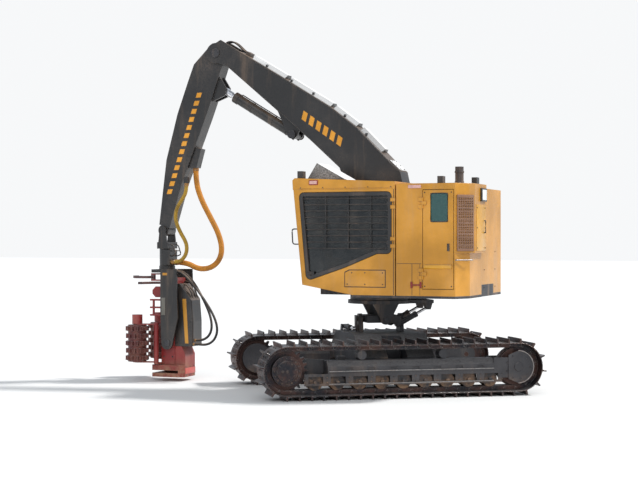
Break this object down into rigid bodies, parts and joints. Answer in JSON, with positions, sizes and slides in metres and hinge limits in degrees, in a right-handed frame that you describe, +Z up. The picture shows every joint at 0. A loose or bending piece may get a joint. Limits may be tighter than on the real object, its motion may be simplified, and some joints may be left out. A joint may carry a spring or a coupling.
{
  "type": "forestry processor",
  "caption": "Tracked forestry processor: levelling cab and engine housing on a slewing deck, boom, stick and a hanging head with saw, knives and feed rollers",
  "frame": {"origin": "middle of the bounding box, on the ground", "axes": "+X forward along the boom, +Y to the machine's left, +Z up"},
  "size_m": [7.7752, 5.4704, 6.235],
  "materials": {
    "yellow_paint": "gloss yellow paint, dusty",
    "black_paint": "black paint, scuffed",
    "red_paint": "red paint, worn",
    "dark_steel": "dark paint with rust and soil",
    "track_steel": "rusty worn steel",
    "chrome_rod": "hard chrome",
    "tinted_glass": "dark tinted glass",
    "grille_mesh": "dusty mesh",
    "seat_cover": "dark grey cloth",
    "supply_yellow": "yellow sleeve",
    "orange_sleeve": "orange hose sleeve",
    "hose_rubber": "black hydraulic hose",
    "knife_steel": "worn bare steel"
  },
  "bodies": {
    "undercarriage": {"car_body": "dark_steel", "leveller_mounts": "dark_steel", "track_frame_left": "dark_steel", "track_frame_right": "dark_steel", "track_left": "track_steel", "track_right": "track_steel", "sprockets": "track_steel", "idlers": "track_steel", "track_rollers": "dark_steel"},
    "leveller_cross": {"leveller_cross": "dark_steel"},
    "roll_barrel": {"roll_ram_barrel": "dark_steel"},
    "roll_rod": {"roll_ram_rod": "chrome_rod"},
    "platform": {"leveller_platform": "dark_steel", "slewing_ring": "dark_steel"},
    "pitch_barrels": {"pitch_ram_barrels": "dark_steel"},
    "pitch_rods": {"pitch_ram_rods": "chrome_rod"},
    "upper_body": {"deck_frame": "dark_steel", "cab_shell": "yellow_paint", "cab_roof": "yellow_paint", "cab_windows": "tinted_glass", "operator_seat": "seat_cover", "roof_guard": "black_paint", "engine_house": "yellow_paint", "corner_grille": "grille_mesh", "rear_housing": "yellow_paint", "engine_block": "dark_steel", "tank_module": "yellow_paint", "exhaust_stack": "dark_steel", "lamps": "tinted_glass"},
    "cab_door": {"cab_door": "black_paint", "door_glass": "tinted_glass", "door_guard": "black_paint"},
    "house_door": {"house_door": "yellow_paint"},
    "boom": {"main_boom": "black_paint", "boom_covers": "black_paint", "hose_saddle": "black_paint", "tip_hose_left": "hose_rubber", "tip_hose_right": "hose_rubber"},
    "hoist_barrels": {"hoist_ram_barrels": "black_paint"},
    "hoist_rods": {"hoist_ram_rods": "chrome_rod"},
    "stick_barrel": {"stick_ram_barrel": "black_paint"},
    "stick_rod": {"stick_ram_rod": "chrome_rod"},
    "stick": {"stick": "black_paint", "hose_bracket": "black_paint", "hose_sleeve": "orange_sleeve", "supply_hose": "supply_yellow"},
    "hanger": {"head_hanger": "black_paint"},
    "tilt_bracket": {"tilt_bracket": "black_paint", "head_hose_inner": "hose_rubber", "head_hose_outer": "hose_rubber"},
    "head": {"head_frame": "red_paint", "head_cover": "black_paint", "saw_box": "red_paint"},
    "saw_bar": {"saw_bar": "knife_steel"},
    "knife_left": {"delimbing_knife_left": "knife_steel"},
    "knife_right": {"delimbing_knife_right": "knife_steel"},
    "feed_arm_left": {"feed_arm_left": "red_paint"},
    "feed_arm_right": {"feed_arm_right": "red_paint"},
    "feed_roller_left": {"feed_roller_left": "knife_steel"},
    "feed_roller_right": {"feed_roller_right": "knife_steel"}
  },
  "joints": [
    {"name": "roll", "type": "hinge", "parent": "undercarriage", "child": "leveller_cross", "pos_m": [-0.95025, 0, 1.23], "axis": [0.8192, 0.5736, 0], "range_deg": [-15, 15]},
    {"name": "roll_ram_swing", "type": "hinge", "parent": "undercarriage", "child": "roll_barrel", "pos_m": [-0.21291, -0.21618, 1.065], "axis": [0.8192, 0.5736, 0], "range_deg": [-0.006, 0.006]},
    {"name": "roll_ram_slide", "type": "slide", "parent": "roll_barrel", "child": "roll_rod", "axis": [-0.5736, 0.8191, -0.0083], "range_m": [-0.04588, 0.04588]},
    {"name": "pitch", "type": "hinge", "parent": "leveller_cross", "child": "platform", "pos_m": [-0.95025, 0, 1.23], "axis": [0.5736, -0.8192, 0], "range_deg": [-7, 18]},
    {"name": "pitch_ram_swing", "type": "hinge", "parent": "leveller_cross", "child": "pitch_barrels", "pos_m": [-1.15504, -0.14339, 1.13], "axis": [0.5736, -0.8192, 0], "range_deg": [-9.9, 24.43]},
    {"name": "pitch_ram_slide", "type": "slide", "parent": "pitch_barrels", "child": "pitch_rods", "axis": [-0.7191, -0.5035, 0.4789], "range_m": [-0.05853, 0.02373]},
    {"name": "slew", "type": "hinge", "parent": "platform", "child": "upper_body", "pos_m": [-0.95025, 0, 1.65], "axis": [0, 0, 1], "continuous": true},
    {"name": "cab_door_swing", "type": "hinge", "parent": "upper_body", "child": "cab_door", "pos_m": [-1.66125, 1.466, 2.8], "axis": [0, 0, 1], "range_deg": [0, 100]},
    {"name": "house_door_swing", "type": "hinge", "parent": "upper_body", "child": "house_door", "pos_m": [-2.19425, 1.466, 2.6], "axis": [0, 0, -1], "range_deg": [0, 110]},
    {"name": "hoist", "type": "hinge", "parent": "upper_body", "child": "boom", "pos_m": [-1.30025, 0, 2.9], "axis": [0, -1, 0], "range_deg": [-15, 25]},
    {"name": "hoist_ram_swing", "type": "hinge", "parent": "upper_body", "child": "hoist_barrels", "pos_m": [-0.12025, 0, 1.99], "axis": [0, -1, 0], "range_deg": [-3.27, 5.35]},
    {"name": "hoist_ram_slide", "type": "slide", "parent": "hoist_barrels", "child": "hoist_rods", "axis": [-0.2983, 0, 0.9545], "range_m": [-0.22735, 0.37124]},
    {"name": "stick_swing", "type": "hinge", "parent": "boom", "child": "stick", "pos_m": [2.14975, 0, 6], "axis": [0, 1, 0], "range_deg": [-65, 3], "deforming": ["tip_hose_left", "tip_hose_right"]},
    {"name": "stick_ram_swing", "type": "hinge", "parent": "boom", "child": "stick_barrel", "pos_m": [0.64975, 0, 4.48], "axis": [0, 1, 0], "range_deg": [-0.32, 4.91]},
    {"name": "stick_ram_slide", "type": "slide", "parent": "stick_barrel", "child": "stick_rod", "axis": [0.8559, 0, 0.5172], "range_m": [-0.04853, 0.73864]},
    {"name": "head_swing", "type": "hinge", "parent": "stick", "child": "hanger", "pos_m": [3.24975, 0, 2.78], "axis": [0, -1, 0], "range_deg": [-15, 45], "deforming": ["hose_sleeve", "supply_hose"]},
    {"name": "head_turn", "type": "hinge", "parent": "hanger", "child": "tilt_bracket", "pos_m": [3.24975, 0, 2.12], "axis": [0, 0, 1], "continuous": true},
    {"name": "head_tilt", "type": "hinge", "parent": "tilt_bracket", "child": "head", "pos_m": [3.07975, 0, 0.705], "axis": [0, 1, 0], "range_deg": [0, 90], "deforming": ["head_hose_inner", "head_hose_outer"]},
    {"name": "saw_bar_swing", "type": "hinge", "parent": "head", "child": "saw_bar", "pos_m": [3.37975, -0.215, 0.175], "axis": [0, 0, -1], "range_deg": [0, 170]},
    {"name": "knife_left_swing", "type": "hinge", "parent": "head", "child": "knife_left", "pos_m": [3.40975, 0.24, 1.87], "axis": [0, 0, 1], "range_deg": [0, 70]},
    {"name": "knife_right_swing", "type": "hinge", "parent": "head", "child": "knife_right", "pos_m": [3.40975, -0.24, 1.745], "axis": [0, 0, -1], "range_deg": [0, 70]},
    {"name": "feed_arm_left_swing", "type": "hinge", "parent": "head", "child": "feed_arm_left", "pos_m": [3.29975, 0.33, 0.75], "axis": [0, 0, 1], "range_deg": [-12, 35]},
    {"name": "feed_arm_right_swing", "type": "hinge", "parent": "head", "child": "feed_arm_right", "pos_m": [3.29975, -0.33, 0.75], "axis": [0, 0, -1], "range_deg": [-12, 35]},
    {"name": "feed_roller_left_turn", "type": "hinge", "parent": "feed_arm_left", "child": "feed_roller_left", "pos_m": [3.64375, 0.425, 0.75], "axis": [0, 0, 1], "continuous": true},
    {"name": "feed_roller_right_turn", "type": "hinge", "parent": "feed_arm_right", "child": "feed_roller_right", "pos_m": [3.64375, -0.425, 0.75], "axis": [0, 0, 1], "continuous": true}
  ],
  "couplings": [
    {"joint": "roll_ram_swing", "follows": "roll", "ratio": -0.000372},
    {"joint": "roll_ram_slide", "follows": "roll", "m_per_rad": 0.16852},
    {"joint": "pitch_ram_swing", "follows": "pitch", "ratio": 1.3206},
    {"joint": "pitch_ram_slide", "follows": "pitch", "m_per_rad": -0.18127},
    {"joint": "hoist_ram_swing", "follows": "hoist", "ratio": 0.2072},
    {"joint": "hoist_ram_slide", "follows": "hoist", "m_per_rad": 0.82444},
    {"joint": "stick_ram_swing", "follows": "stick_swing", "ratio": -0.073938},
    {"joint": "stick_ram_slide", "follows": "stick_swing", "m_per_rad": -0.63775},
    {"joint": "knife_right_swing", "follows": "knife_left_swing", "ratio": 1},
    {"joint": "feed_arm_right_swing", "follows": "feed_arm_left_swing", "ratio": 1}
  ]
}
